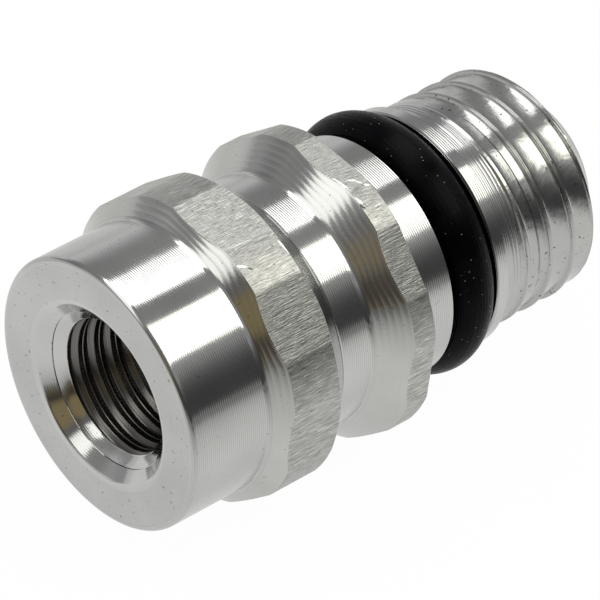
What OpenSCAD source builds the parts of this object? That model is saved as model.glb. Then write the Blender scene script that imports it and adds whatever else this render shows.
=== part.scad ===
// Screw-in refrigerant service valve: one turned body of eight-sided bar, its sealing ring,
// and the spring-loaded valve core inside it.
// Millimetres. X runs along the valve from the cap mouth to the threaded end, Z is up.
// The valve lies on one bar flat, on Z = 0, and X = 0 and Y = 0 are the middle of its bounds.

/* [Body] */
// Across the flats of the eight-sided bar
bar_across_flats = 15.56; // [15:0.01:16.4]
// Diameter of the two lips, turned on the bar's corners
lip_diameter = 16; // [15.8:0.01:17]
// Diameter of the plain tip a coupler slides on
tip_diameter = 14.12; // [13.4:0.01:14.8]
// Length of the plain tip, from the front face
tip_length = 4.65; // [4:0.01:6]
// Rounding of the tip's front rim
rim_rounding = 0.3; // [0.1:0.05:0.6]
// Angle of the cone behind the tip, from the axis
tip_cone_angle = 49.6; // [40:0.1:60]
// Length of the front lip, on its full diameter
front_lip_length = 2.79; // [2:0.01:4]
// Diameter of the coupler groove's floor
groove_diameter = 13.12; // [12.4:0.01:13.8]
// Length of the groove's flat floor
groove_floor_length = 1.92; // [1.2:0.01:3]
// Angle of the groove's two walls, from the axis
groove_wall_angle = 45; // [35:0.5:60]
// Length of the rear lip, on its full diameter
rear_lip_length = 1.28; // [0.8:0.01:3]

/* [Threaded end] */
// Diameter of the pilot collar behind the shoulder
collar_diameter = 12.62; // [12.2:0.01:13]
// Length of the pilot collar
collar_length = 2.7; // [2:0.01:4]
// Diameter of the sealing ring's gland floor
gland_diameter = 9.06; // [8.4:0.01:9.4]
// Width of the gland
gland_width = 2.88; // [2.5:0.01:3.6]
// Diameter of the land between the gland and the shank
land_diameter = 12.7; // [12.2:0.01:13]
// Length of the land
land_length = 0.72; // [0.4:0.01:1.5]
// Diameter of the plain shank
shank_diameter = 11.9; // [11.2:0.01:11.95]
// Length of the plain shank
shank_length = 1.58; // [1:0.01:3]
// Outside diameter of the port thread
thread_diameter = 12; // [11.96:0.01:12.1]
// Length of the port thread, up to the end chamfer
thread_length = 4.4; // [3.5:0.01:8]
// Pitch of the port thread, whose turns stand here as rings
thread_pitch = 1.5; // [1.25:0.05:1.75]
// Depth of the port thread's grooves
thread_depth = 0.46; // [0.3:0.02:0.6]
// Width of a thread groove's floor
thread_floor = 0.8; // [0.5:0.05:0.9]
// Width of a thread crest
thread_crest = 0.2; // [0.1:0.02:0.3]
// Diameter of the rear face's outer edge, where the long chamfer ends
end_diameter = 7.6; // [6.8:0.01:9]
// Length of the end chamfer
end_chamfer_length = 1.77; // [1:0.01:2.5]
// Section diameter of the sealing ring
ring_section = 2.4; // [2:0.01:2.5]
// Outside diameter of the sealing ring
ring_outside = 13.8; // [13.4:0.01:14]
// Clearance between the ring and the gland's rear wall
ring_rear_gap = 0.14; // [0.02:0.01:0.3]

/* [Cap mouth] */
// Diameter of the flared mouth at the front face
mouth_diameter = 8.96; // [8.6:0.01:9.6]
// Depth of the flare, to its sharp inner ring
flare_depth = 0.62; // [0.4:0.01:0.9]
// Diameter of the sharp ring where the flare ends and the thread's lead-in starts
ring_diameter = 8.12; // [8.02:0.01:8.3]
// Depth of the lead-in's end, where the cap thread starts
lead_in_depth = 1.02; // [0.9:0.01:1.4]
// Bore of the cap thread, at its crests
cap_thread_bore = 7; // [6.7:0.01:7.4]
// Depth of the cap thread's end
cap_thread_depth = 7.4; // [6:0.05:7.8]
// Bore of the relief below the cap thread
relief_bore = 6.2; // [5.8:0.05:6.6]

/* [Core] */
// Depth of the core plug's top below the front face
core_depth = 9.6; // [9.4:0.05:10.4]
// Bore of the core thread in the body
core_thread_bore = 4.84; // [4.7:0.01:5]
// Radial clearance round the core plug
core_clearance = 0.02; // [0.01:0.005:0.05]
// Length of the plug's wrench tang
tang_length = 1.8; // [1.4:0.05:2.2]
// Thickness of the wrench tang, across its two flats
tang_thickness = 2; // [1.8:0.05:2.4]
// Width of the wrench tang
tang_width = 4.1; // [3.6:0.05:4.4]
// Length of the plug's threaded ring, above the barrel's flange
plug_ring_length = 2.2; // [1.8:0.05:2.6]
// Flow bore of the plug
plug_flow_bore = 2.9; // [2.7:0.05:3]
// Thickness of the barrel's flange
flange_thickness = 0.6; // [0.5:0.05:0.8]
// Diameter of the barrel's flange
flange_diameter = 3.8; // [3.6:0.05:4]
// Length of the plug's crimped skirt, below the flange
skirt_length = 1; // [0.8:0.05:1.2]
// Length of the gasket
gasket_length = 2.2; // [1.8:0.05:2.6]
// Diameter of the barrel's neck, inside the skirt and the gasket
neck_diameter = 3.2; // [3.1:0.02:3.3]
// Diameter of the barrel's tube
tube_diameter = 3.5; // [3.4:0.02:3.6]
// Length of the barrel's tube
tube_length = 5.2; // [4.6:0.05:6]
// Bore of the body round the tube
body_bore = 3.9; // [3.8:0.02:4.1]
// Bore of the body's rear chamber
chamber_bore = 5.2; // [4.8:0.05:5.6]
// Spring chamber bore of the barrel
spring_chamber_bore = 2.7; // [2.65:0.01:2.75]
// Flow hole at each end of the barrel
barrel_hole = 1.9; // [1.8:0.02:2]
// Thickness of the barrel's two end walls
barrel_end_wall = 0.6; // [0.4:0.05:0.8]

/* [Stem] */
// Diameter of the stem pin
pin_diameter = 1.4; // [1.3:0.02:1.5]
// Radial clearance round the pin in the plug's guide
pin_clearance = 0.05; // [0.02:0.01:0.08]
// How far the pin stands out of the plug
pin_stand_out = 0.4; // [0.1:0.05:0.8]
// Diameter of the pin's upset collar
pin_collar_diameter = 2.4; // [2.3:0.02:2.5]
// Thickness of the pin's upset collar
pin_collar_thickness = 0.4; // [0.3:0.05:0.6]
// Distance from the flange's top down to the pin's collar
pin_collar_depth = 2.4; // [2.1:0.05:2.8]
// Wire diameter of the spring
spring_wire = 0.28; // [0.2:0.01:0.32]
// Outside diameter of the spring
spring_outside = 2.56; // [2.4:0.02:2.6]
// Turns of the spring
spring_turns = 8; // [5:0.5:10]
// Outside diameter of the cup
cup_diameter = 3.6; // [3.5:0.02:3.8]
// Wall and floor thickness of the cup
cup_wall = 0.3; // [0.2:0.02:0.35]
// Thickness of the seal disc
seal_thickness = 0.8; // [0.6:0.05:1]
// Gap between the cup's rim and the barrel's nose
rim_gap = 0.2; // [0.1:0.05:0.4]
// Diameter of the pin's riveted end
rivet_diameter = 2; // [1.8:0.05:2.4]
// Thickness of the pin's riveted end
rivet_thickness = 0.4; // [0.3:0.05:0.6]

/* [Hidden] */
// Every z below is a distance from the front face, along the axis.
round_steps = 96;
bar_sides = 8;

lip_r = lip_diameter / 2;
tip_r = tip_diameter / 2;
groove_r = groove_diameter / 2;
z_front_lip = tip_length + (lip_r - tip_r) / tan(tip_cone_angle);
z_groove_wall = z_front_lip + front_lip_length;
groove_wall_length = (lip_r - groove_r) / tan(groove_wall_angle);
z_floor = z_groove_wall + groove_wall_length;
z_floor_end = z_floor + groove_floor_length;
z_rear_lip = z_floor_end + groove_wall_length;
z_port_shoulder = z_rear_lip + rear_lip_length;
z_gland = z_port_shoulder + collar_length;
z_land = z_gland + gland_width;
z_shank = z_land + land_length;
z_thread = z_shank + shank_length;
z_end_chamfer = z_thread + thread_length;
overall_length = z_end_chamfer + end_chamfer_length;

z_ring_start = z_gland + gland_width - ring_rear_gap - ring_section / 2;
ring_centre_r = (ring_outside - ring_section) / 2;

relief_chamfer = (cap_thread_bore - relief_bore) / 2;
core_countersink = (relief_bore - core_thread_bore) / 2 * 0.8;
chamber_cone = (chamber_bore - body_bore) / 2 * 0.6;

z_tang = core_depth;
z_plug_ring = z_tang + tang_length;
z_flange = z_plug_ring + plug_ring_length;
z_skirt = z_flange + flange_thickness;
z_gasket = z_skirt + skirt_length;
z_tube = z_gasket + gasket_length;
z_nose = z_tube + tube_length;
z_chamber = z_nose - 1.6;
plug_r = core_thread_bore / 2 - core_clearance;
z_core_bore = z_tang + 0.2;

z_pin_top = z_tang - pin_stand_out;
z_pin_collar = z_flange + pin_collar_depth;
z_spring = z_pin_collar + pin_collar_thickness;
z_spring_end = z_nose - barrel_end_wall;
z_cup_floor = z_nose + seal_thickness;
z_cup_end = z_cup_floor + cup_wall;
seal_r = cup_diameter / 2 - cup_wall;

// Stands a shape made on Z, from the front face, along X in the part's frame.
module along_x() {
    translate([-overall_length / 2, 0, bar_across_flats / 2]) rotate([0, 90, 0]) children();
}

module turned(profile) {
    rotate_extrude($fn = round_steps) polygon(profile);
}

module disc(z, length, diameter) {
    translate([0, 0, z]) cylinder(h = length, d = diameter, $fn = round_steps);
}

// Front face and rounded rim, from the mouth outwards.
rim_steps = 4;
rim = [for (i = [0 : rim_steps]) let (a = 90 * i / rim_steps)
    [tip_r - rim_rounding + rim_rounding * sin(a), rim_rounding - rim_rounding * cos(a)]];

// The turns of the port thread, as rings: each groove has a floor between two flanks.
thread_r = thread_diameter / 2;
thread_flank = (thread_pitch - thread_crest - thread_floor) / 2;
thread_turns = floor((thread_length - thread_crest / 2) / thread_pitch);
thread_grooves = [for (i = [0 : thread_turns]) let (z = z_thread + thread_crest / 5 + i * thread_pitch)
    for (p = [[0, 0], [thread_flank, thread_depth], [thread_flank + thread_floor, thread_depth],
              [2 * thread_flank + thread_floor, 0]])
        if (z + thread_pitch - thread_crest < z_end_chamfer - 0.01) [thread_r - p[1], z + p[0]]];

body_outside = concat(rim, [
    [tip_r, tip_length],
    [lip_r, z_front_lip],
    [lip_r, z_groove_wall],
    [groove_r, z_floor],
    [groove_r, z_floor_end],
    [lip_r, z_rear_lip],
    [lip_r, z_port_shoulder],
    [collar_diameter / 2, z_port_shoulder],
    [collar_diameter / 2, z_gland],
    [gland_diameter / 2, z_gland],
    [gland_diameter / 2, z_land],
    [land_diameter / 2, z_land],
    [land_diameter / 2, z_shank],
    [shank_diameter / 2, z_shank],
    [shank_diameter / 2, z_thread],
    [thread_r, z_thread]],
    thread_grooves, [
    [thread_r, z_end_chamfer],
    [end_diameter / 2, overall_length]]);

body_inside = [
    [chamber_bore / 2, overall_length],
    [chamber_bore / 2, z_chamber],
    [body_bore / 2, z_chamber - chamber_cone],
    [body_bore / 2, z_tube],
    [core_thread_bore / 2, z_gasket],
    [core_thread_bore / 2, z_core_bore],
    [relief_bore / 2, z_core_bore - core_countersink],
    [relief_bore / 2, cap_thread_depth + relief_chamfer],
    [cap_thread_bore / 2, cap_thread_depth],
    [cap_thread_bore / 2, lead_in_depth],
    [ring_diameter / 2, flare_depth],
    [mouth_diameter / 2, 0]];

// One turning: the bar's flats are left on the two lips, everything else is cut below them.
module valve_body() {
    color([0.76, 0.76, 0.77]) along_x() intersection() {
        turned(concat(body_outside, body_inside));
        rotate([0, 0, 180 / bar_sides]) translate([0, 0, -1])
            cylinder(h = overall_length + 2, d = bar_across_flats / cos(180 / bar_sides),
                     $fn = bar_sides);
    }
}

// The ring is stretched onto the gland's floor, so it is flat where it touches it.
module body_seal_ring() {
    color([0.05, 0.05, 0.05]) along_x() translate([0, 0, z_ring_start]) difference() {
        rotate_extrude($fn = round_steps) translate([ring_centre_r, 0])
            circle(d = ring_section, $fn = 48);
        disc(-ring_section, 2 * ring_section, gland_diameter);
    }
}

// Threaded ring with a two-flat wrench tang across it and a skirt crimped under the flange.
module core_plug() {
    color([0.78, 0.62, 0.3]) along_x() difference() {
        union() {
            disc(z_plug_ring, z_gasket - z_plug_ring, 2 * plug_r);
            intersection() {
                disc(z_tang, tang_length + 0.3, tang_width);
                translate([-tang_thickness / 2, -tang_width, z_tang])
                    cube([tang_thickness, 2 * tang_width, tang_length + 0.3]);
            }
        }
        disc(z_plug_ring - 0.4, z_flange - z_plug_ring + 0.4, plug_flow_bore);
        disc(z_tang - 1, tang_length + 2, pin_diameter + 2 * pin_clearance);
        disc(z_flange, flange_thickness, flange_diameter);
        disc(z_flange, z_gasket - z_flange + 1, neck_diameter);
    }
}

module core_barrel() {
    color([0.8, 0.66, 0.36]) along_x() turned([
        [barrel_hole / 2, z_flange],
        [flange_diameter / 2, z_flange],
        [flange_diameter / 2, z_skirt],
        [neck_diameter / 2, z_skirt],
        [neck_diameter / 2, z_tube],
        [tube_diameter / 2, z_tube],
        [tube_diameter / 2, z_nose - 0.4],
        [tube_diameter / 2 - 0.4, z_nose],
        [barrel_hole / 2, z_nose],
        [barrel_hole / 2, z_spring_end],
        [spring_chamber_bore / 2, z_spring_end],
        [spring_chamber_bore / 2, z_flange + 2 * barrel_end_wall],
        [barrel_hole / 2, z_flange + 2 * barrel_end_wall]]);
}

// Fills the body's taper seat between the plug's skirt and the barrel's shoulder.
module core_gasket() {
    color([0.85, 0.2, 0.15]) along_x() turned([
        [neck_diameter / 2, z_gasket],
        [core_thread_bore / 2, z_gasket],
        [body_bore / 2, z_tube],
        [neck_diameter / 2, z_tube]]);
}

// Coil swept along a helix whose end turns lie nearly closed.
coil_steps = 14;
wire_steps = 8;
coil_r = (spring_outside - spring_wire) / 2;
coil_low = z_spring + spring_wire / 2 + 0.01;
coil_high = z_spring_end - spring_wire / 2 - 0.01;
coil_count = floor(spring_turns * coil_steps);
end_turn = spring_wire * 1.05;
function coil_z(t) = t < 1 ? coil_low + end_turn * t
    : t > spring_turns - 1 ? coil_high - end_turn * (spring_turns - t)
    : coil_low + end_turn
        + (coil_high - coil_low - 2 * end_turn) * (t - 1) / (spring_turns - 2);

module core_spring() {
    points = [for (i = [0 : coil_count]) let (t = spring_turns * i / coil_count, a = 360 * t)
        for (j = [0 : wire_steps - 1]) let (b = 360 * j / wire_steps,
            r = coil_r + spring_wire / 2 * cos(b))
            [r * cos(a), r * sin(a), coil_z(t) + spring_wire / 2 * sin(b)]];
    sides = [for (i = [0 : coil_count - 1]) for (j = [0 : wire_steps - 1])
        let (k = (j + 1) % wire_steps, p = i * wire_steps, q = p + wire_steps)
        [p + j, q + j, q + k, p + k]];
    low_end = [for (j = [0 : wire_steps - 1]) j];
    high_end = [for (j = [wire_steps - 1 : -1 : 0]) coil_count * wire_steps + j];
    color([0.6, 0.6, 0.62]) along_x() polyhedron(points, concat(sides, [low_end, high_end]));
}

module stem_pin() {
    color([0.62, 0.6, 0.56]) along_x() union() {
        disc(z_pin_top, z_cup_end - z_pin_top, pin_diameter);
        disc(z_pin_collar, pin_collar_thickness, pin_collar_diameter);
        disc(z_cup_end, rivet_thickness, rivet_diameter);
    }
}

module stem_cup() {
    color([0.8, 0.66, 0.36]) along_x() turned([
        [pin_diameter / 2, z_cup_floor],
        [seal_r, z_cup_floor],
        [seal_r, z_nose + rim_gap],
        [cup_diameter / 2, z_nose + rim_gap],
        [cup_diameter / 2, z_cup_end],
        [pin_diameter / 2, z_cup_end]]);
}

module stem_seal() {
    color([0.08, 0.08, 0.08]) along_x() turned([
        [pin_diameter / 2, z_nose],
        [seal_r, z_nose],
        [seal_r, z_cup_floor],
        [pin_diameter / 2, z_cup_floor]]);
}

valve_body();
body_seal_ring();
core_plug();
core_barrel();
core_gasket();
core_spring();
stem_pin();
stem_cup();
stem_seal();
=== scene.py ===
"""Finish of a screw-in service valve: turned aluminium body, rubber ring and the valve core."""
import math

import bpy
import mathutils
import numpy as np
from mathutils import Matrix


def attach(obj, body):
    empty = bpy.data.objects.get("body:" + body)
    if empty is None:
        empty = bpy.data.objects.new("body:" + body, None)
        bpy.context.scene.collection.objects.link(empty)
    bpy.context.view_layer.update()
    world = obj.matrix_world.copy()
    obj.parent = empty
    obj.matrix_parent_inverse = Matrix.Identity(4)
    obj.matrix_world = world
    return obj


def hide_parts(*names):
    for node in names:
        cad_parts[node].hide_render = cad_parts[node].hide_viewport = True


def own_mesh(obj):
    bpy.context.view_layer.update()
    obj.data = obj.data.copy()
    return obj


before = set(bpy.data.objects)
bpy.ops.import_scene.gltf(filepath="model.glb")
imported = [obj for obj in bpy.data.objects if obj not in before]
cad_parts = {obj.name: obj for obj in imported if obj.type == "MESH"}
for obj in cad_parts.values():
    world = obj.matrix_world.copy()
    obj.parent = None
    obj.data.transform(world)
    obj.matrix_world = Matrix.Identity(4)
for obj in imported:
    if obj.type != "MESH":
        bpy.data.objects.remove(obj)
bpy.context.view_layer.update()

# ---------------------------------------------------------------------------
# Valve body. One turning in free-cutting aluminium, cut from drawn eight-sided bar with rounded
# corners. The bar's skin is left on the two lips; tip, cones, groove, collar and gland are turned,
# the port thread is rolled and the cap thread tapped.
# Lengths here are millimetres: z from the front face along the axis, r from the axis.
MM = 0.001
LENGTH, AXIS_HEIGHT = 28.37, 7.78
BAR_HALF, LIP_R, TIP_R, GROOVE_R = 7.78, 8.0, 7.06, 6.56
COLLAR_R, GLAND_R, LAND_R, SHANK_R, THREAD_R = 6.31, 4.53, 6.35, 5.95, 6.0
CAP_BORE_R, RELIEF_R, CORE_BORE_R, PORT_BORE_R, CHAMBER_R = 3.5, 3.1, 2.42, 1.95, 2.6
TURNED, CONE, SKIN, FACE, POLISHED, THREAD, BORE, TAPPED = range(8)


def bar_radius(psi):
    """Radius of the bar at an angle in degrees: eight flats, their corners rounded to the lip."""
    return np.minimum(BAR_HALF / np.cos(np.radians((psi + 22.5) % 45 - 22.5)), LIP_R)


# Angles round the axis in degrees, 24 columns to each eighth: over the flat, across the soft line
# where it meets the bar's rounded corner, over the corner and across the next line.
EIGHTH = np.concatenate([np.linspace(-12.5, 12.5, 12), [13.2, 14.3],
                         np.linspace(15.8, 29.2, 8), [30.7, 31.8]])
PSI = (EIGHTH[None, :] + 45 * np.arange(8)[:, None]).ravel()
BAR_R = bar_radius(PSI)


class Rows:
    """Rows of a closed surface of revolution: each has a z and an r for every column, and the
    finish of the band of faces that ends on it."""

    def __init__(self):
        self.z, self.r, self.finish = [], [], []

    def add(self, z, r, finish):
        """One row at z, r (numbers, or one value for each column)."""
        self.z.append(np.broadcast_to(np.asarray(z, float), PSI.shape))
        self.r.append(np.broadcast_to(np.asarray(r, float), PSI.shape))
        self.finish.append(finish)

    def line(self, z0, r0, z1, r1, steps, finish, first=True):
        """Straight stretch of the profile in even steps, with or without its first row."""
        for t in np.linspace(0, 1, steps + 1)[0 if first else 1:]:
            self.add(z0 + (z1 - z0) * t, r0 + (r1 - r0) * t, finish)

    def arc(self, z, r, radius, a0, a1, steps, finish):
        """Arc round z, r from angle a0 to a1 in degrees; 0 points along +z and 90 outwards."""
        for a in np.radians(np.linspace(a0, a1, steps + 1)):
            self.add(z + radius * math.cos(a), r + radius * math.sin(a), finish)

    def screw(self, origin, z_low, r_low, z_high, pitch, offsets, radius_at, finish):
        """Thread of rows that climb with the angle: z = origin + pitch x (turn + angle / 360) plus
        an offset from the crest, held between z_low and z_high, so every crest line lies on the
        grid. radius_at(distance from the crest, degrees turned since z_low, z) gives r, and what
        would lie before z_low stands on the ring at r_low. Returns the first row, the end row and
        the rows of one turn, for joining the seam."""
        start = len(self.z)
        last = int(math.ceil((z_high - origin) / pitch)) + 1
        for turn in range(int(math.floor((z_low - origin) / pitch)) - 2, last):
            for offset in offsets:
                free = origin + pitch * (turn + PSI / 360) + offset
                z = np.clip(free, z_low, z_high)
                r = radius_at(abs(offset), 360 * (free - offset - z_low) / pitch, z)
                self.add(z, np.where(free < z_low, r_low, r), finish)
        return start, len(self.z), len(offsets)


def smooth(start, end, x):
    """0 on the start's side, 1 on the end's side, with an S-shaped way between."""
    t = np.clip((x - start) / (end - start), 0, 1)
    return t * t * (3 - 2 * t)


def both_sides(offsets):
    """Rows of one whole pitch about a crest, from those of its upper half."""
    return np.concatenate([-offsets[-2:0:-1], offsets])


rows = Rows()
# Front face with its rounded rim, and the plain tip a coupler slides on.
RIM = 0.3
rows.line(0.0, 4.98, 0.0, TIP_R - 0.34, 4, FACE)
rows.arc(RIM, TIP_R - RIM, RIM, 172, 98, 7, TURNED)
rows.line(RIM, TIP_R, 4.46, TIP_R, 6, TURNED)
# Tool-nose fillet and the 49.6 degree cone out to the bar. The cone's last row and the skin's
# first one lie so close together that the edge between them stays sharp.
FILLET, CONE_SHORT, SKIN_PAST = 0.4, 0.004, 0.006
slope = math.tan(math.radians(49.6))
rows.arc(4.465, TIP_R + FILLET, FILLET, 270, 319.6, 6, TURNED)
edge = 4.65 + (BAR_R - TIP_R) / slope
rows.line(4.77, TIP_R + 0.12 * slope, edge - CONE_SHORT, BAR_R - CONE_SHORT * slope, 4, CONE)
# Front lip in the bar's skin, ended by the groove's 45 degree wall.
WALL_FOOT, CORNER = 9.68, 0.01
rows.add(edge + SKIN_PAST, BAR_R, SKIN)
wall_top = WALL_FOOT - (BAR_R - GROOVE_R)
rows.line(edge + SKIN_PAST, BAR_R, wall_top - CORNER, BAR_R, 6, SKIN, first=False)
rows.add(wall_top + CORNER, BAR_R - CORNER, BORE)
rows.line(wall_top + CORNER, BAR_R - CORNER, WALL_FOOT - 0.1, GROOVE_R + 0.1, 4, BORE, first=False)
rows.arc(9.763, GROOVE_R + 0.2, 0.2, 225, 270, 4, TURNED)
# Groove floor, the 45.3 degree cone and the rear lip.
rows.line(9.8, GROOVE_R, 11.42, GROOVE_R, 3, TURNED)
slope = math.tan(math.radians(45.3))
rows.arc(11.433, GROOVE_R + FILLET, FILLET, 270, 315.3, 5, TURNED)
edge = 11.6 + (BAR_R - GROOVE_R) / slope
rows.line(11.73, GROOVE_R + 0.13 * slope, edge - CONE_SHORT, BAR_R - CONE_SHORT * slope, 5, CONE)
rows.add(edge + SKIN_PAST, BAR_R, SKIN)
rows.line(edge + SKIN_PAST, BAR_R, 14.29, BAR_R, 4, SKIN, first=False)
# Shoulder, pilot collar and gland.
SHOULDER, COLLAR_END, GLAND_END, LAND_END = 14.32, 17.02, 19.9, 20.62
rows.add(SHOULDER, BAR_R - 0.03, TURNED)
rows.line(SHOULDER, BAR_R - 0.03, SHOULDER, COLLAR_R + 0.08, 3, FACE, first=False)
rows.arc(14.40, COLLAR_R + 0.08, 0.08, 180, 270, 3, TURNED)
rows.line(14.5, COLLAR_R, 16.94, COLLAR_R, 3, TURNED)
rows.line(16.97, COLLAR_R, COLLAR_END, COLLAR_R - 0.05, 1, TURNED)
rows.line(COLLAR_END, COLLAR_R - 0.06, COLLAR_END, GLAND_R + 0.15, 2, TURNED)
rows.arc(17.17, GLAND_R + 0.15, 0.15, 180, 270, 3, TURNED)
rows.line(17.2, GLAND_R, 19.72, GLAND_R, 2, TURNED)
rows.arc(19.75, GLAND_R + 0.15, 0.15, 270, 360, 3, TURNED)
rows.line(GLAND_END, GLAND_R + 0.17, GLAND_END, LAND_R - 0.1, 2, TURNED)
# Land, with its two edges broken, and the plain shank.
rows.line(19.91, LAND_R - 0.09, 19.98, LAND_R, 1, POLISHED)
rows.line(20.0, LAND_R, 20.55, LAND_R, 2, TURNED)
rows.line(20.58, LAND_R, LAND_END, LAND_R - 0.05, 1, POLISHED)
rows.line(LAND_END, LAND_R - 0.06, LAND_END, SHANK_R + 0.05, 1, TURNED)
rows.arc(20.67, SHANK_R + 0.05, 0.05, 180, 270, 2, POLISHED)
rows.line(20.72, SHANK_R, 21.25, SHANK_R, 3, POLISHED)
# Three tool lines stand on the shank where the thread runs out.
for line_z in (21.32, 21.52, 21.74):
    rows.line(line_z - 0.035, SHANK_R, line_z, SHANK_R + 0.022, 1, POLISHED)
    rows.add(line_z + 0.035, SHANK_R, POLISHED)

# Port thread. A crest stands at z 22.11 where the angle is 127 degrees.
THREAD_PITCH, THREAD_LOW, THREAD_HIGH = 1.5, 21.8, 27.0
THREAD_CREST = 22.11 - THREAD_PITCH * 127 / 360
CHAMFER_LOW, CHAMFER_SLOPE = 26.6, 2.2 / 1.77
ROLLED_OFFSETS = np.array([0, 0.03, 0.05, 0.07, 0.1, 0.13, 0.16, 0.19, 0.22, 0.3, 0.42, 0.58, 0.75])
ROLLED_DEPTHS = [0.03, 0.0, 0.0, 0.0, 0.025, 0.1, 0.15, 0.173, 0.185, 0.2, 0.212, 0.22, 0.223]
CREST_HALF = 0.08


def rolled_radius(off, degrees, z):
    """M12x1.5 as rolled, far from full depth: a thin crest with a seam along it, short steep
    shoulders that round into a broad, hollow trough. The first groove runs in over most of a
    turn, and the end chamfer cuts the last crest."""
    depth = np.interp(off, ROLLED_OFFSETS, ROLLED_DEPTHS)
    run_in = smooth(-60, 200, degrees) if off > CREST_HALF else smooth(150, 260, degrees)
    stand = SHANK_R + (THREAD_R - SHANK_R) * smooth(THREAD_LOW, 22.2, z)
    return np.minimum(stand - depth * run_in, THREAD_R - (z - CHAMFER_LOW) * CHAMFER_SLOPE)


port_thread = rows.screw(THREAD_CREST, THREAD_LOW, SHANK_R, THREAD_HIGH, THREAD_PITCH,
                         both_sides(ROLLED_OFFSETS), rolled_radius, THREAD)
# End chamfer, rear face, the drilled rear chamber, the port's narrow bore, the seat and bore of
# the core, and the relief behind the cap thread.
rows.line(THREAD_HIGH, THREAD_R - 0.4 * CHAMFER_SLOPE, 28.27, 3.92, 4, THREAD, first=False)
rows.arc(28.25, 3.8, 0.12, 38, 0, 3, TURNED)
rows.line(LENGTH, 3.7, LENGTH, 2.68, 2, FACE)
rows.line(28.32, CHAMBER_R, 21.0, CHAMBER_R, 4, BORE)
rows.line(20.61, PORT_BORE_R, 17.45, PORT_BORE_R, 3, BORE)
rows.line(17.4, PORT_BORE_R, 15.2, CORE_BORE_R, 2, BORE)
rows.line(15.15, CORE_BORE_R, 9.8, CORE_BORE_R, 3, BORE)
rows.line(9.26, RELIEF_R - 0.02, 9.2, RELIEF_R, 1, BORE)
rows.line(9.1, RELIEF_R, 7.82, RELIEF_R, 2, BORE)

# Cap thread, from the lead-in to where the tap ends.
TAP_CREST, TAP_LOW, TAP_HIGH, TAP_PITCH = 0.967, 1.1, 7.4, 1.0
TAPPED_OFFSETS = np.array([0, 0.11, 0.14, 0.17, 0.2, 0.28, 0.36, 0.42, 0.5])
TAPPED_DEPTHS = [0.03, 0.028, 0.0, 0.0, 0.015, 0.1075, 0.2, 0.24, 0.25]


def tapped_radius(off, degrees, z):
    """M8x1 as tapped, shallow: flat crests at 7 mm, each with the two thin ridges that the tap
    pushes up at its edges, and narrow roots. The lead-in cuts it away at the mouth, and it fades
    where the tap ends. It needs no degrees, as it has no run-in."""
    depth = np.interp(off, TAPPED_OFFSETS, TAPPED_DEPTHS)
    return CAP_BORE_R + depth * smooth(TAP_HIGH, 6.6, z) * smooth(0.98, 1.3, z)


# The bore's rows run towards the mouth, so the tapped thread is its own block, turned round.
tap = Rows()
tapped = tap.screw(TAP_CREST, TAP_LOW, CAP_BORE_R + 0.03, TAP_HIGH, TAP_PITCH,
                   both_sides(TAPPED_OFFSETS), tapped_radius, TAPPED)
# Mouth, outwards: bellied lead-in, sharp ring, flare, and a soft round on to the face.
mouth = Rows()
mouth.arc(4.542, 6.854, 4.785, 224, 216, 6, BORE)
mouth.line(0.662, 4.09, 0.635, 4.09, 1, BORE)
mouth.line(0.615, 4.065, 0.14, 4.611, 3, BORE)
mouth.arc(0.571, 4.985, 0.571, 221, 184, 7, BORE)
mouth.add(0.0, 4.95, FACE)


def close_seam(block, thread=None):
    """z and r with a last column: the first one again, one turn further on inside a thread, where
    the rows climb by a pitch, and unchanged elsewhere."""
    z, r = np.array(block.z), np.array(block.r)
    z_end, r_end = z[:, 0].copy(), r[:, 0].copy()
    if thread:
        start, stop, step = thread
        z_end[start:stop - step] = z[start + step:stop, 0]
        r_end[start:stop - step] = r[start + step:stop, 0]
        z_end[stop - step:stop], r_end[stop - step:stop] = z[stop - 1, 0], r[stop - 1, 0]
    return np.column_stack([z, z_end]), np.column_stack([r, r_end])


main_z, main_r = close_seam(rows, port_thread)
tap_z, tap_r = close_seam(tap, tapped)
mouth_z, mouth_r = close_seam(mouth)
grid_z = np.vstack([main_z, tap_z[::-1], mouth_z])
grid_r = np.vstack([main_r, tap_r[::-1], mouth_r])
finish_of_row = np.array(rows.finish + tap.finish[::-1] + mouth.finish)


def put(name, data):
    """Object of some data in the scene, at the origin."""
    placed = bpy.data.objects.new(name, data)
    bpy.context.scene.collection.objects.link(placed)
    return placed


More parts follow.
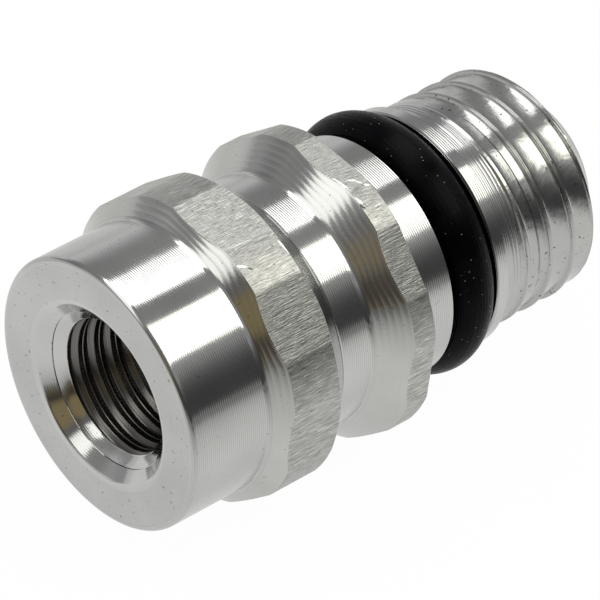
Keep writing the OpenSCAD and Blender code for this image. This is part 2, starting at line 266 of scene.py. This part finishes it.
def ring_mesh(name, z, r, psi, finish, materials, sharp=12):
    """Closed mesh of revolution from rows by columns: point = axis + r (cos psi, sin psi) at z.
    The last column stands on the first, the last row is joined to the first, equal points are
    merged, and faces point away from the solid. The UV map 'turned' holds turns round the axis,
    and millimetres along the profile over 100. finish gives the material of each row's band, and
    edges sharper than some degrees stay sharp."""
    z, r = np.vstack([z, z[:1]]), np.vstack([r, r[:1]])
    n_rows, n_cols = z.shape
    angle = np.radians(psi)
    points = np.stack([z - LENGTH / 2, r * np.cos(angle), AXIS_HEIGHT + r * np.sin(angle)], -1) * MM
    points = points.reshape(-1, 3)
    steps = np.hypot(np.diff(z, axis=0), np.diff(r, axis=0)).mean(1)
    along = np.concatenate([[0], np.cumsum(steps)])
    a = (np.arange(n_rows - 1)[:, None] * n_cols + np.arange(n_cols - 1)[None, :]).ravel()
    quads = np.stack([a, a + 1, a + n_cols + 1, a + n_cols], -1)
    _, keep, alias = np.unique(np.round(points * 1e8).astype(np.int64), axis=0, return_index=True,
                               return_inverse=True)
    faces = alias.ravel()[quads]
    uv = np.stack([np.broadcast_to(psi / 360, z.shape).ravel(),
                   np.broadcast_to(along[:, None] / 100, z.shape).ravel()], -1)[quads]
    slots = np.repeat(np.concatenate([finish[1:], finish[:1]]), n_cols - 1)
    # A quad with two equal corners becomes a triangle; one with more goes.
    same = faces == np.roll(faces, -1, axis=1)
    full, three = same.sum(1) == 0, same.sum(1) == 1
    corners = ~same[three]
    loops = np.concatenate([faces[full].ravel(), faces[three][corners]])
    corner_count = np.concatenate([np.full(full.sum(), 4), np.full(three.sum(), 3)])
    starts = np.concatenate([[0], np.cumsum(corner_count)[:-1]])
    mesh = bpy.data.meshes.new(name)
    mesh.vertices.add(len(keep))
    mesh.vertices.foreach_set("co", points[keep].ravel())
    mesh.loops.add(len(loops))
    mesh.loops.foreach_set("vertex_index", loops.astype(np.int32))
    mesh.polygons.add(len(starts))
    mesh.polygons.foreach_set("loop_start", starts.astype(np.int32))
    mesh.polygons.foreach_set("material_index",
                              np.concatenate([slots[full], slots[three]]).astype(np.int32))
    mesh.update(calc_edges=True)
    mesh.uv_layers.new(name="turned").data.foreach_set(
        "uv", np.concatenate([uv[full].reshape(-1, 2), uv[three][corners]]).ravel())
    for material in materials:
        mesh.materials.append(material)
    mesh.polygons.foreach_set("use_smooth", np.ones(len(starts), bool))
    mesh.set_sharp_from_angle(angle=math.radians(sharp))
    if mesh.validate():
        print(name, "had faces that were mended")
    return put(name, mesh)


def colour_of(text):
    """Linear colour of an sRGB hex value."""
    c = np.array([int(text[i:i + 2], 16) / 255 for i in (1, 3, 5)])
    return (*np.where(c <= 0.04045, c / 12.92, ((c + 0.055) / 1.055) ** 2.4).tolist(), 1.0)


def add(tree, kind, inputs, stops=(), **settings):
    """Adds a node and gives back the output that its use needs: a mixed colour, a dot product's
    number, else the first. inputs are {socket: value or output}, stops are (position, colour) of
    a colour ramp, and settings are the node's own fields. Sockets with the same name go by number:
    a mix has 0 its share, 6 and 7 its colours; a map range has 0 its value, 1 and 2 where it comes
    from, 3 and 4 where it goes."""
    n = tree.nodes.new(kind)
    for key, value in settings.items():
        setattr(n, key, value)
    for socket, what in inputs.items():
        if isinstance(what, bpy.types.NodeSocket):
            tree.links.new(what, n.inputs[socket])
        else:
            n.inputs[socket].default_value = what
    for i, (position, colour) in enumerate(stops):
        e = n.color_ramp.elements[i] if i < 2 else n.color_ramp.elements.new(position)
        e.position = position
        e.color = colour if isinstance(colour, tuple) else (colour, colour, colour, 1.0)
    if not n.outputs:
        return n
    return n.outputs[{"ShaderNodeMix": 2, "ShaderNodeVectorMath": 1}.get(kind, 0)]


def new_material(name, **shader):
    """Material with a Principled shader, whose fixed values stand on its own sockets. Gives the
    material, its tree, the shader and the Object coordinates."""
    material = bpy.data.materials.new(name)
    material.use_nodes = True
    tree = material.node_tree
    bsdf = tree.nodes["Principled BSDF"]
    for socket, value in shader.items():
        bsdf.inputs[socket.replace("_", " ")].default_value = value
    return material, tree, bsdf, tree.nodes.new("ShaderNodeTexCoord").outputs["Object"]


# Colour of the swarf specks, also used for the painted shade on the feed lines.
SWARF_AND_LINE_SHADE, RAGGED = "#4A4844", 0.5


def turned_metal(name, hexes, rough, feed, height, ridge=0.0, waves=0.0, dent=0.38, specks=0.35,
                 along=0.6, shade=0.0):
    """Cut aluminium. Feed marks of one feed in mm run round it as a shallow screw: scallops of one
    height in mm with a sharp ridge between them, so it mirrors clearly along them and combs the
    edge of every highlight. Each line differs a little, as the chip tears, ridge is how much
    rougher the ridges are, and waves are soft dents, dent mm wide, from the tool or the rolls.
    Faint stains change its tone, the sharp lines between the scallops get painted shade, darker by
    shade, and a few dark specks of swarf sit on it."""
    material, tree, bsdf, place = new_material(name, Metallic=1.0, Anisotropic=along)
    bsdf.inputs["Anisotropic Rotation"].default_value = 0.25
    uv_map = add(tree, "ShaderNodeUVMap", {}, uv_map="turned")
    turns, profile = add(tree, "ShaderNodeSeparateXYZ", {0: uv_map}).node.outputs[:2]
    screw = add(tree, "ShaderNodeMath", {0: profile, 1: 100.0 / feed, 2: turns},
                operation="MULTIPLY_ADD")
    angle = add(tree, "ShaderNodeMath", {0: screw, 1: math.pi}, operation="MULTIPLY")
    swing = add(tree, "ShaderNodeMath", {0: angle}, operation="SINE")
    wave = add(tree, "ShaderNodeMath", {0: swing}, operation="ABSOLUTE")
    uneven = add(tree, "ShaderNodeTexNoise", {"W": screw, "Scale": 0.61, "Detail": 2.0},
                 noise_dimensions="1D")
    lines = add(tree, "ShaderNodeMath", {0: uneven, 1: RAGGED, 2: wave}, operation="MULTIPLY_ADD")
    stain = add(tree, "ShaderNodeTexNoise", {"Vector": place, "Scale": 260.0, "Detail": 4.0})
    tone = add(tree, "ShaderNodeValToRGB", {0: stain},
               [(0.3, colour_of(hexes[0])), (0.7, colour_of(hexes[1]))])
    # More specks means a lower threshold, and darker ones.
    dots = add(tree, "ShaderNodeTexNoise", {"Vector": place, "Scale": 4600.0, "Detail": 1.0})
    dark = add(tree, "ShaderNodeValToRGB", {0: dots},
               [(0.75 - 0.06 * specks, 0.0), (0.79 - 0.06 * specks, specks)])
    # Painted shade: the sharp lines between the scallops are darkened in the colour by shade,
    # towards the swarf's colour.
    painted_line_shade = add(tree, "ShaderNodeMapRange", {0: wave, 1: 0.0, 2: 0.6, 3: shade, 4: 0.0})
    dark = add(tree, "ShaderNodeMath", {0: dark, 1: painted_line_shade}, operation="MAXIMUM")
    tree.links.new(add(tree, "ShaderNodeMix", {0: dark, 6: tone, 7: colour_of(SWARF_AND_LINE_SHADE)},
                       data_type="RGBA"), bsdf.inputs["Base Color"])
    # The foot of each scallop is burnished by the tool and its ridge is torn, so it is duller.
    dull = add(tree, "ShaderNodeMapRange",
               {0: stain, 1: 0.3, 2: 0.7, 3: rough + ridge - 0.03, 4: rough + ridge + 0.04})
    tree.links.new(add(tree, "ShaderNodeMath", {0: wave, 1: -ridge, 2: dull},
                       operation="MULTIPLY_ADD"), bsdf.inputs["Roughness"])
    normal = add(tree, "ShaderNodeBump",
                 {"Height": lines, "Distance": height * MM, "Filter Width": 0.3})
    if waves:
        dents = add(tree, "ShaderNodeTexNoise",
                    {"Vector": place, "Scale": 1000.0 / dent, "Detail": 4.0})
        normal = add(tree, "ShaderNodeBump",
                     {"Height": dents, "Distance": waves * MM, "Normal": normal})
    tree.links.new(normal, bsdf.inputs["Normal"])
    tree.links.new(add(tree, "ShaderNodeTangent", {}, direction_type="UV_MAP", uv_map="turned"),
                   bsdf.inputs["Tangent"])
    return material


def bar_skin(name, knock_glints_and_shadows):
    """Skin of the drawn bar: duller and darker than cut metal, with bright and dark die lines along
    the bar, the fine ones 0.04 mm wide and 0.6 mm long, the broad ones 0.12 by 3 mm, a fine grain
    between them, and small pits. knock_glints_and_shadows are (z, degrees round the axis, degrees
    that the long way leans from the axis, length, width, colour) of knocks on the lips: the white
    ones are painted glints where a burr catches the light, the dark ones painted shadow beside a
    burr or in a nick."""
    material, tree, bsdf, place = new_material(name, Metallic=1.0)
    fine_place = add(tree, "ShaderNodeMapping",
                     {"Vector": place, "Scale": (1600.0, 25000.0, 25000.0)})
    fine = add(tree, "ShaderNodeTexNoise",
               {"Vector": fine_place, "Scale": 1.0, "Detail": 3.0, "Roughness": 0.6})
    broad_place = add(tree, "ShaderNodeMapping",
                      {"Vector": place, "Scale": (300.0, 8500.0, 8500.0)})
    broad = add(tree, "ShaderNodeTexNoise",
                {"Vector": broad_place, "Scale": 1.0, "Detail": 4.0, "Roughness": 0.6})
    grain = add(tree, "ShaderNodeTexNoise", {"Vector": place, "Scale": 6500.0, "Detail": 3.0})
    height = add(tree, "ShaderNodeMath", {0: fine, 1: 1.7, 2: broad}, operation="MULTIPLY_ADD")
    height = add(tree, "ShaderNodeMath", {0: grain, 1: 1.0, 2: height}, operation="MULTIPLY_ADD")
    tone = add(tree, "ShaderNodeValToRGB", {0: fine},
               [(0.3, colour_of("#787876")), (0.44, colour_of("#A0A09D")),
                (0.56, colour_of("#B2B2AF")), (0.68, colour_of("#DADAD7"))])
    pits = add(tree, "ShaderNodeTexNoise", {"Vector": place, "Scale": 4200.0, "Detail": 1.0})
    pit = add(tree, "ShaderNodeValToRGB", {0: pits}, [(0.7, 0.0), (0.76, 0.5)])
    tone = add(tree, "ShaderNodeMix", {0: pit, 6: tone, 7: colour_of("#5A5854")}, data_type="RGBA")
    # Knocks on the lips, painted in the colour as glints and shadows: each is an ellipse on the
    # surface whose edge the pits' noise tears.
    for z, psi, lean, long_way, wide, shade in knock_glints_and_shadows:
        psi, lean, r = math.radians(psi), math.radians(lean), float(bar_radius(psi))
        out = mathutils.Vector((0, math.cos(psi), math.sin(psi)))
        round_way = mathutils.Vector((0, -out.z, out.y))
        way = mathutils.Vector((1, 0, 0)) * math.cos(lean) + round_way * math.sin(lean)
        centre = ((z - LENGTH / 2) * MM, r * out.y * MM, (AXIS_HEIGHT + r * out.z) * MM)
        turn = mathutils.Matrix((way, out.cross(way), out)).transposed().to_euler()
        halves = (long_way / 2 * MM, wide / 2 * MM, MM)
        local = add(tree, "ShaderNodeMapping",
                    {"Vector": place, "Location": centre, "Rotation": turn, "Scale": halves},
                    vector_type="TEXTURE")
        away = add(tree, "ShaderNodeVectorMath", {0: local}, operation="LENGTH")
        away = add(tree, "ShaderNodeMath", {0: pits, 1: 1.5, 2: away}, operation="MULTIPLY_ADD")
        away = add(tree, "ShaderNodeMath", {0: away, 1: 2.0}, operation="DIVIDE")
        painted_knock_mask = add(tree, "ShaderNodeValToRGB", {0: away}, [(0.78, 0.9), (0.9, 0.0)])
        tone = add(tree, "ShaderNodeMix", {0: painted_knock_mask, 6: tone, 7: colour_of(shade)},
                   data_type="RGBA")
    tree.links.new(tone, bsdf.inputs["Base Color"])
    tree.links.new(add(tree, "ShaderNodeMapRange", {0: broad, 1: 0.3, 2: 0.7, 3: 0.27, 4: 0.42}),
                   bsdf.inputs["Roughness"])
    tree.links.new(add(tree, "ShaderNodeBump",
                       {"Height": height, "Distance": 0.008 * MM, "Filter Width": 0.2}),
                   bsdf.inputs["Normal"])
    return material


# Tip, groove, collar and gland: a mirror combed by fine lines, with painted shade darkening them.
FEED = 0.1225
turned = turned_metal("turned aluminium, fine feed", ("#B9B9B8", "#C3C3C2"), 0.115, FEED, 0.0027,
                      ridge=0.08, shade=0.22)
# The cones: the same cut with nearly three times the feed, so that single lines show.
cone_cut = turned_metal("turned aluminium, coarse feed on the cones", ("#B9B9B7", "#C4C4C2"),
                        0.13, 0.322, 0.0048, ridge=0.08)
# Front face, shoulder and rear face: an even satin grey with dark specks.
faced = turned_metal("faced aluminium", ("#B6B6B5", "#C6C6C5"), 0.4, FEED, 0.0012,
                     waves=0.006, specks=0.6, along=0.2)
# Plain shank and the land's edges: a burnished, slightly wavy shine.
polished = turned_metal("burnished aluminium", ("#ABABAC", "#BABAB9"), 0.2, FEED, 0.004,
                        waves=0.006, dent=0.8)
# Port thread and end chamfer: smooth and wavy, with the most specks.
rolled = turned_metal("rolled aluminium thread", ("#A8A8AA", "#B9B9B5"), 0.18, 0.11, 0.0006,
                      waves=0.018, dent=0.6, specks=0.9, along=0.2)
# Bores, mouth and groove wall: the clearest mirror on the part.
bored = turned_metal("bored aluminium", ("#B9B9B8", "#C4C4C3"), 0.08, FEED, 0.0008,
                     ridge=0.05, along=0.3)
# Cap thread: duller than the metal round it, and darker in colour, partly for dirt and partly as
# painted shade of the deep bore.
tapped_metal = turned_metal("tapped aluminium", ("#6C6A67", "#7A7874"), 0.24, 0.13, 0.003,
                            ridge=0.1)
# The two lips: grey streaks along the bar, with the painted glints and shadows of small knocks at
# the edges.
skin = bar_skin("drawn bar skin", [
    (5.72, 111.4, 27, 0.62, 0.13, "#FFFFFF"), (5.98, 113.2, 40, 0.25, 0.1, "#4A4846"),
    (8.18, 111.5, 82, 0.9, 0.11, "#FFFFFF"), (13.05, 101, 84, 1.2, 0.13, "#FFFFFF"),
    (13.14, 109.6, 75, 0.5, 0.14, "#FFFFFF"), (13.1, 112, 60, 0.35, 0.13, "#3A3836"),
    (13.62, 101.5, 35, 0.45, 0.12, "#F4F4F2"), (13.84, 103.6, 55, 0.4, 0.1, "#F4F4F2"),
    (14.05, 105.6, 30, 0.35, 0.12, "#F4F4F2")])

valve_body = ring_mesh("turned_body", grid_z, grid_r, np.append(PSI, PSI[0] + 360), finish_of_row,
                       [turned, cone_cut, skin, faced, polished, rolled, bored, tapped_metal])
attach(valve_body, "valve")
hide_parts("valve_body")

# ---------------------------------------------------------------------------
# Sealing ring. Black nitrile rubber, moulded, stretched into the gland and lightly oiled, so it
# shines faintly in thin lines; dust and lint stick to it.
RING_Z, RING_R, SECTION_R = 18.56, 5.7, 1.2
rubber, tree, bsdf, place = new_material("oiled black rubber", Specular_IOR_Level=0.05)
grain = add(tree, "ShaderNodeTexNoise", {"Vector": place, "Scale": 900.0, "Detail": 4.0})
# Lint: a dot at the middle of about one cell in three.
lint = add(tree, "ShaderNodeTexVoronoi", {"Vector": place, "Scale": 5000.0}).node.outputs
near = add(tree, "ShaderNodeValToRGB", {0: lint["Distance"]}, [(0.07, 0.8), (0.12, 0.0)])
pick = add(tree, "ShaderNodeValToRGB", {0: lint["Color"]}, [(0.66, 0.0), (0.72, 1.0)])
speck = add(tree, "ShaderNodeMath", {0: near, 1: pick}, operation="MULTIPLY")
black = add(tree, "ShaderNodeValToRGB", {0: grain},
            [(0.35, colour_of("#020204")), (0.75, colour_of("#08080B"))])
tree.links.new(add(tree, "ShaderNodeMix", {0: speck, 6: black, 7: colour_of("#BDBDC0")},
                   data_type="RGBA"), bsdf.inputs["Base Color"])
tree.links.new(add(tree, "ShaderNodeMapRange", {0: grain, 1: 0.3, 2: 0.7, 3: 0.2, 4: 0.34}),
               bsdf.inputs["Roughness"])
# Fine moulding lines run along the ring.
uv_map = add(tree, "ShaderNodeUVMap", {}, uv_map="turned")
profile = add(tree, "ShaderNodeSeparateXYZ", {0: uv_map}).node.outputs[1]
flow = add(tree, "ShaderNodeTexNoise", {"W": profile, "Scale": 1300.0, "Detail": 2.0},
           noise_dimensions="1D")
relief = add(tree, "ShaderNodeBump", {"Height": flow, "Distance": 0.03 * MM})
tree.links.new(add(tree, "ShaderNodeBump",
                   {"Height": grain, "Distance": 0.012 * MM, "Normal": relief}),
               bsdf.inputs["Normal"])
# Section angle 0 points outwards; the gap at 180 is the flat that sits on the gland's floor.
flat_half = math.acos((RING_R - GLAND_R) / SECTION_R)
section = np.linspace(-math.pi + flat_half, math.pi - flat_half, 49)[:, None]
ring_psi = np.linspace(0, 360, 193)
ring_shape = (len(section), len(ring_psi))
seal_ring = ring_mesh("seal_ring",
                      np.broadcast_to(RING_Z + SECTION_R * np.sin(section), ring_shape),
                      np.broadcast_to(RING_R + SECTION_R * np.cos(section), ring_shape),
                      ring_psi, np.zeros(len(section), int), [rubber], sharp=30)
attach(seal_ring, "valve")
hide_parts("body_seal_ring")

# ---------------------------------------------------------------------------
# Valve core. A brass plug, barrel and cup turned on a small automatic, a red sealing gasket, a
# bright steel pin, and a black seal disc. They keep their CAD shapes.


def finish_core(tree, bsdf, pattern, hexes, rough, depth):
    """Lets one pattern drive a small part's colour, its roughness and a relief, depth mm high."""
    tree.links.new(add(tree, "ShaderNodeValToRGB", {0: pattern},
                       [(0.3, colour_of(hexes[0])), (0.7, colour_of(hexes[1]))]),
                   bsdf.inputs["Base Color"])
    tree.links.new(add(tree, "ShaderNodeMapRange",
                       {0: pattern, 1: 0.3, 2: 0.7, 3: rough, 4: rough + 0.1}),
                   bsdf.inputs["Roughness"])
    tree.links.new(add(tree, "ShaderNodeBump", {"Height": pattern, "Distance": depth * MM}),
                   bsdf.inputs["Normal"])


def core_metal(name, hexes, rough):
    """Small turned part: bright metal with faint rings across the axis, about 0.1 mm apart."""
    material, tree, bsdf, place = new_material(name, Metallic=1.0)
    drawn = add(tree, "ShaderNodeMapping", {"Vector": place, "Scale": (9000.0, 300.0, 300.0)})
    rings = add(tree, "ShaderNodeTexNoise", {"Vector": drawn, "Scale": 1.0, "Detail": 3.0})
    finish_core(tree, bsdf, rings, hexes, rough, 0.004)
    return material


def core_soft(name, hexes, rough):
    """Moulded polymer or rubber: an even colour with a fine matte grain of about 0.4 mm."""
    material, tree, bsdf, place = new_material(name)
    grain = add(tree, "ShaderNodeTexNoise", {"Vector": place, "Scale": 2500.0, "Detail": 3.0})
    finish_core(tree, bsdf, grain, hexes, rough, 0.006)
    return material


# Warm yellow and grey metals with fine rings, and a plain red and a plain black.
brass = core_metal("turned brass", ("#C29A4E", "#D3AE64"), 0.22)
steel = core_metal("bright steel", ("#A9A9A8", "#BCBCBB"), 0.2)
gasket_red = core_soft("red sealing polymer", ("#96271B", "#AA3324"), 0.42)
disc_black = core_soft("black seal rubber", ("#151415", "#222021"), 0.48)
for part, finish in {"core_plug": brass, "core_barrel": brass, "stem_cup": brass,
                     "stem_pin": steel, "core_gasket": gasket_red, "stem_seal": disc_black}.items():
    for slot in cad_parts[part].material_slots:
        slot.material = finish

# ---------------------------------------------------------------------------
# Core spring. Eight turns of 0.28 mm bright steel wire, coiled with closed ends; it presses on the
# pin's collar.
SPRING_LOW, SPRING_HIGH, WIRE, COIL_R, TURNS = 16.4, 22.0, 0.28, 1.14, 8
# Drawn wire: cool grey, with the same fine rings as the turned parts.
wire_steel = core_metal("drawn spring wire", ("#9A9A9C", "#B0B0B2"), 0.22)
t = np.linspace(0, TURNS, TURNS * 40 + 1)[:, None]
b = np.radians(np.arange(0, 360, 30))[None, :]
first_z, last_z = SPRING_LOW + WIRE / 2 + 0.01, SPRING_HIGH - WIRE / 2 - 0.01
closed = WIRE * 1.05
# Height of the wire's middle: one closed turn at each end, even turns between.
coil_z = np.interp(t, [0, 1, TURNS - 1, TURNS],
                   [first_z, first_z + closed, last_z - closed, last_z])
wire_r = COIL_R + WIRE / 2 * np.cos(b)
turn = 2 * math.pi * t
wire_points = np.stack([coil_z + WIRE / 2 * np.sin(b) - LENGTH / 2, wire_r * np.cos(turn),
                        AXIS_HEIGHT + wire_r * np.sin(turn)], -1).reshape(-1, 3) * MM
steps, sides = len(t), b.shape[1]
i, j = np.meshgrid(np.arange(steps - 1), np.arange(sides), indexing="ij")
k = (j + 1) % sides
wire_faces = np.stack([i * sides + j, (i + 1) * sides + j, (i + 1) * sides + k, i * sides + k],
                      -1).reshape(-1, 4)
ends = [list(range(sides)), list(range(steps * sides - 1, (steps - 1) * sides - 1, -1))]
spring_mesh = bpy.data.meshes.new("coil_spring")
spring_mesh.from_pydata(wire_points.tolist(), [], wire_faces.tolist() + ends)
spring_mesh.polygons.foreach_set("use_smooth", np.ones(len(spring_mesh.polygons), bool))
spring_mesh.set_sharp_from_angle(angle=math.radians(50))
spring_mesh.materials.append(wire_steel)
coil_spring = put("coil_spring", spring_mesh)
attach(coil_spring, "valve")
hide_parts("core_spring")
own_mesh(coil_spring)

# ---------------------------------------------------------------------------
# Floor, light and camera. White paper under two soft boxes, the long one with a dimmer end, and a
# dim room behind the camera; nothing here is part of the valve.
floor_mesh = bpy.data.meshes.new("floor")
floor_mesh.from_pydata([(-3, -3, 0), (3, -3, 0), (3, 3, 0), (-3, 3, 0)], [], [(0, 1, 2, 3)])
floor = put("floor", floor_mesh)
# Plain matte paper that reads as pure white to the camera and keeps a little of the shadow.
paper = bpy.data.materials.new("white paper")
paper.use_nodes = True
tree = paper.node_tree
tree.nodes.clear()
rays = tree.nodes.new("ShaderNodeLightPath").outputs
place = tree.nodes.new("ShaderNodeTexCoord").outputs["Object"]
# Painted light for reflections: the paper glows with an emission that is brightest round the valve
# and darker the nearer it lies to the camera's side of the room, standing in for the soft boxes'
# light falling off.
side = add(tree, "ShaderNodeVectorMath", {0: place, 1: (-0.55, -0.83, 0.0)},
           operation="DOT_PRODUCT")
side = add(tree, "ShaderNodeMapRange", {0: side, 1: -0.15, 2: 0.25, 3: 0.0, 4: 1.0})
painted_light_falloff = add(tree, "ShaderNodeValToRGB", {0: side},
              [(0.0, 0.72), (1.0, 0.15), (0.25, 0.7), (0.3, 0.68), (0.325, 0.7), (0.36, 0.98),
               (0.41, 1.0), (0.42, 0.95), (0.44, 0.83), (0.48, 0.62), (0.54, 0.44), (0.63, 0.3),
               (0.81, 0.17)])
diffuse = add(tree, "ShaderNodeBsdfDiffuse", {"Color": colour_of("#E6E6E4")})
white = add(tree, "ShaderNodeEmission", {"Color": (1, 1, 1, 1), "Strength": 1.0})
mirrored = add(tree, "ShaderNodeEmission", {"Color": painted_light_falloff, "Strength": 1.0})
to_camera = add(tree, "ShaderNodeMixShader", {0: 0.98, 1: diffuse, 2: white})
to_mirror = add(tree, "ShaderNodeMixShader", {0: 0.7, 1: diffuse, 2: mirrored})
shown = add(tree, "ShaderNodeMixShader", {0: rays["Is Camera Ray"], 1: diffuse, 2: to_camera})
bounced = add(tree, "ShaderNodeMath", {0: rays["Is Glossy Ray"], 1: rays["Is Transmission Ray"]},
              operation="MAXIMUM")
shown = add(tree, "ShaderNodeMixShader", {0: bounced, 1: shown, 2: to_mirror})
add(tree, "ShaderNodeOutputMaterial", {0: shown})
floor_mesh.materials.append(paper)

world = bpy.data.worlds.new("studio")
bpy.context.scene.world = world
world.use_nodes = True
tree = world.node_tree
tree.nodes.clear()
rays = tree.nodes.new("ShaderNodeLightPath").outputs
way = tree.nodes.new("ShaderNodeTexCoord").outputs["Generated"]
forth, rise = add(tree, "ShaderNodeSeparateXYZ", {0: way}).node.outputs[1:]
up = add(tree, "ShaderNodeMapRange", {0: rise, 1: -0.2, 2: 1.0, 3: 0.0, 4: 1.0})
# Ramps go by the height of the direction, from 0.2 below the horizon to straight up.
far_side = add(tree, "ShaderNodeValToRGB", {0: up},
               [(0.04, 0.78), (1.0, 0.33), (0.27, 0.8), (0.37, 0.5), (0.45, 0.34), (0.7, 0.34)])
near_side = add(tree, "ShaderNodeValToRGB", {0: up},
                [(0.04, 0.5), (1.0, 0.34), (0.19, 0.33), (0.225, 0.075), (0.4, 0.075),
                 (0.49, 0.11), (0.575, 0.2), (0.65, 0.42)])
turn_y = add(tree, "ShaderNodeMapRange", {0: forth, 1: -0.35, 2: 0.45, 3: 0.0, 4: 1.0},
             interpolation_type="SMOOTHSTEP")
room = add(tree, "ShaderNodeMix", {0: turn_y, 6: near_side, 7: far_side}, data_type="RGBA")
# Patches of the room, one over the other: a darker corner across the table, brown furniture beyond
# the mouth, and one warm board on it. Each has its direction, the cosines between which it fades
# in, how much it covers, and its colour.
wood = add(tree, "ShaderNodeValToRGB", {0: up},
           [(0.02, (0.42, 0.4, 0.34, 1)), (0.65, (0.18, 0.18, 0.18, 1)),
            (0.12, (0.27, 0.23, 0.15, 1)), (0.25, (0.08, 0.065, 0.045, 1)),
            (0.4, (0.1, 0.09, 0.075, 1)), (0.5, (0.18, 0.17, 0.17, 1))])
for direction, outer, inner, cover, colour in (
        ((-0.34, 0.94, 0.03), 0.9, 0.985, 0.5, (0.05, 0.05, 0.06, 1)),
        ((-0.93, -0.31, 0.2), 0.82, 0.94, 0.95, wood),
        ((-0.922, -0.23, 0.31), 0.97, 0.992, 0.95, (0.31, 0.25, 0.13, 1))):
    patch = add(tree, "ShaderNodeVectorMath", {0: way, 1: direction}, operation="DOT_PRODUCT")
    patch = add(tree, "ShaderNodeMapRange", {0: patch, 1: outer, 2: inner, 3: 0.0, 4: cover},
                interpolation_type="SMOOTHSTEP")
    room = add(tree, "ShaderNodeMix", {0: patch, 6: room, 7: colour}, data_type="RGBA")
plain = add(tree, "ShaderNodeMix",
            {0: rays["Is Camera Ray"], 6: (0.35, 0.35, 0.35, 1), 7: (1, 1, 1, 1)},
            data_type="RGBA")
bounced = add(tree, "ShaderNodeMath", {0: rays["Is Glossy Ray"], 1: rays["Is Transmission Ray"]},
              operation="MAXIMUM")
shown = add(tree, "ShaderNodeMix", {0: bounced, 6: plain, 7: room}, data_type="RGBA")
background = add(tree, "ShaderNodeBackground", {"Color": shown, "Strength": 1.0})
add(tree, "ShaderNodeOutputWorld", {0: background})

LAMP_HEIGHT = 0.22


def soft_box(name, x_range, y_range, degrees, radiance, colour):
    """Rectangular lamp that lies level over the floor, in metres; its sides are given as x and y
    over its height, and it is turned about the upright through its +x, inner corner."""
    lamp = bpy.data.lights.new(name, "AREA")
    lamp.shape, lamp.color = "RECTANGLE", colour
    lamp.size = (x_range[1] - x_range[0]) * LAMP_HEIGHT
    lamp.size_y = (y_range[1] - y_range[0]) * LAMP_HEIGHT
    lamp.energy = radiance * math.pi * lamp.size * lamp.size_y
    corner = mathutils.Vector((x_range[1], min(y_range, key=abs), 0)) * LAMP_HEIGHT
    middle = mathutils.Vector((sum(x_range) / 2, sum(y_range) / 2, 0)) * LAMP_HEIGHT
    spin = mathutils.Matrix.Rotation(math.radians(degrees), 3, "Z")
    box = put(name, lamp)
    box.location = corner + spin @ (middle - corner) + mathutils.Vector((0, 0, LAMP_HEIGHT))
    box.rotation_euler = (0, 0, math.radians(degrees))


soft_box("long box", (-0.5, 0.703), (0.165, 0.78), 0, 2.8, (1.0, 1.0, 0.97))
soft_box("long box end", (-2.4, -0.5), (0.165, 0.84), 0, 1.5, (1.0, 1.0, 0.96))
soft_box("short box", (-0.3, 0.83), (-0.82, -0.132), 3, 2.8, (1.0, 1.0, 0.9))

# Camera fitted to the photograph: a long lens 258 mm away, rolled 7.5 degrees. The shifts of half
# a pixel put the picture's middle where the fit had it.
RIGHT, DOWN = (0.7498406, -0.6545573, 0.0964044), (-0.3931245, -0.5579883, -0.7308229)
AHEAD, EYE = (0.5321580, 0.5101018, -0.6757248), (-0.138511, -0.131515, 0.181218)
HALF_PIXEL = 0.5 / 600
lens = bpy.data.cameras.new("camera")
lens.sensor_width, lens.lens = 36.0, 320.102
lens.shift_x, lens.shift_y = -HALF_PIXEL, HALF_PIXEL
lens.clip_start, lens.clip_end = 0.01, 20
camera = put("camera", lens)
camera.matrix_world = mathutils.Matrix(
    [(RIGHT[n], -DOWN[n], -AHEAD[n], EYE[n]) for n in range(3)] + [(0, 0, 0, 1)])
bpy.context.scene.camera = camera
bpy.context.scene.view_settings.view_transform = "Standard"
